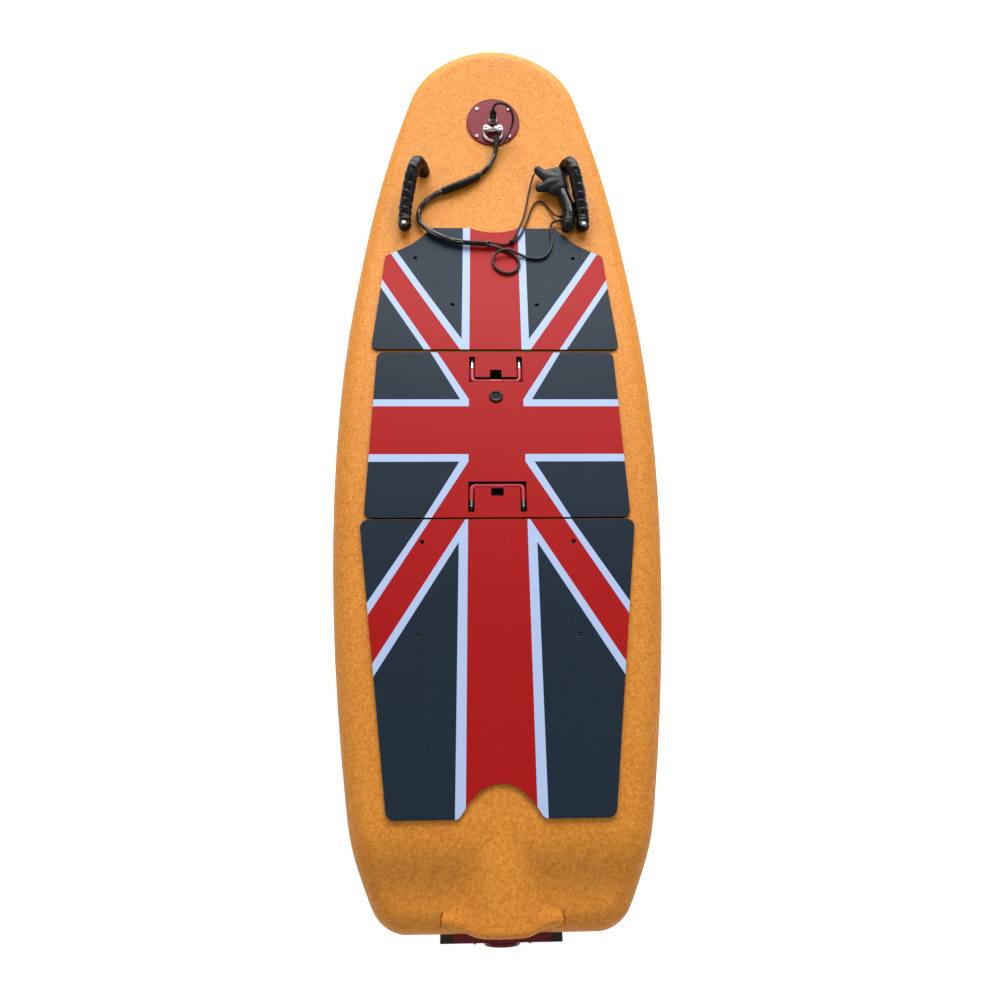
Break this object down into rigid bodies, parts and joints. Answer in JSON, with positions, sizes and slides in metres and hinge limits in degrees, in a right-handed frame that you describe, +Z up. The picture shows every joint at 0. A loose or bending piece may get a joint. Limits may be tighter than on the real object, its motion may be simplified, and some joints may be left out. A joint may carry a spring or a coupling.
{
  "type": "motorized surfboard",
  "caption": "Jet-driven surfboard with a foam hull, a padded deck with a lift-off battery lid, a tethered hand controller and hand straps.",
  "frame": {"origin": "centre of the board's box, on the ground under its flat bottom", "axes": "+X to the rider's right, +Y to the nose, +Z up from the bottom to the deck"},
  "size_m": [0.6464, 1.9315, 0.2812],
  "materials": {
    "orange_foam": "matt speckled foam",
    "black_plastic": "satin",
    "black_rubber": "matt",
    "red_pad": "brushed foam",
    "white_pad": "brushed foam",
    "grey_pad": "brushed foam",
    "red_metal": "satin coating",
    "bail_coat": "satin coating",
    "steel": "polished",
    "dark_metal": "satin",
    "aluminium": "satin",
    "black_cord": "braided",
    "cable_jacket": "satin",
    "gloss_black": "gloss"
  },
  "bodies": {
    "board": {"hull": "orange_foam", "lid_seal": "black_rubber", "battery": "black_plastic", "motor": "aluminium", "ride_plate": "dark_metal", "intake_grille": "steel", "pump_housing": "red_metal", "pump_nozzle": "red_metal", "pump_stator": "aluminium", "deck_inserts": "steel", "fin_boxes": "black_plastic", "hand_strap_right": "black_rubber", "hand_strap_left": "black_rubber", "strap_screws": "steel", "tether": "black_cord", "lead_cable": "cable_jacket", "control_cable": "cable_jacket", "bridle_long": "black_cord", "bridle_short": "black_cord", "bridle_knot": "black_cord", "nose_plate": "red_metal", "nose_screws": "steel", "ring_bracket": "steel", "bracket_screws": "steel", "tie_ring": "steel", "cable_connector": "aluminium", "controller_grip": "gloss_black", "controller_head": "black_plastic", "controller_horn": "black_rubber", "controller_trigger": "black_rubber", "pad_front_red": "red_pad", "pad_front_white": "white_pad", "pad_front_grey": "grey_pad", "pad_rear_red": "red_pad", "pad_rear_white": "white_pad", "pad_rear_grey": "grey_pad"},
    "lid": {"lid": "black_plastic", "lid_valve": "black_plastic", "pad_lid_red": "red_pad", "pad_lid_white": "white_pad", "pad_lid_grey": "grey_pad"},
    "bail_front": {"bail_front": "bail_coat", "bail_front_ends": "steel"},
    "bail_rear": {"bail_rear": "bail_coat", "bail_rear_ends": "steel"},
    "impeller": {"impeller": "aluminium"}
  },
  "joints": [
    {"name": "lid_lift", "type": "slide", "parent": "board", "child": "lid", "axis": [0, 0, 1], "range_m": [0, 0.25]},
    {"name": "bail_front_hinge", "type": "hinge", "parent": "lid", "child": "bail_front", "pos_m": [0, 0.08422, 0.147], "axis": [-1, 0, 0], "range_deg": [0, 90]},
    {"name": "bail_rear_hinge", "type": "hinge", "parent": "lid", "child": "bail_rear", "pos_m": [0, -0.25978, 0.147], "axis": [1, 0, 0], "range_deg": [0, 90]},
    {"name": "impeller_spin", "type": "hinge", "parent": "board", "child": "impeller", "pos_m": [0, -0.73778, 0.05], "axis": [0, 1, 0], "continuous": true}
  ]
}
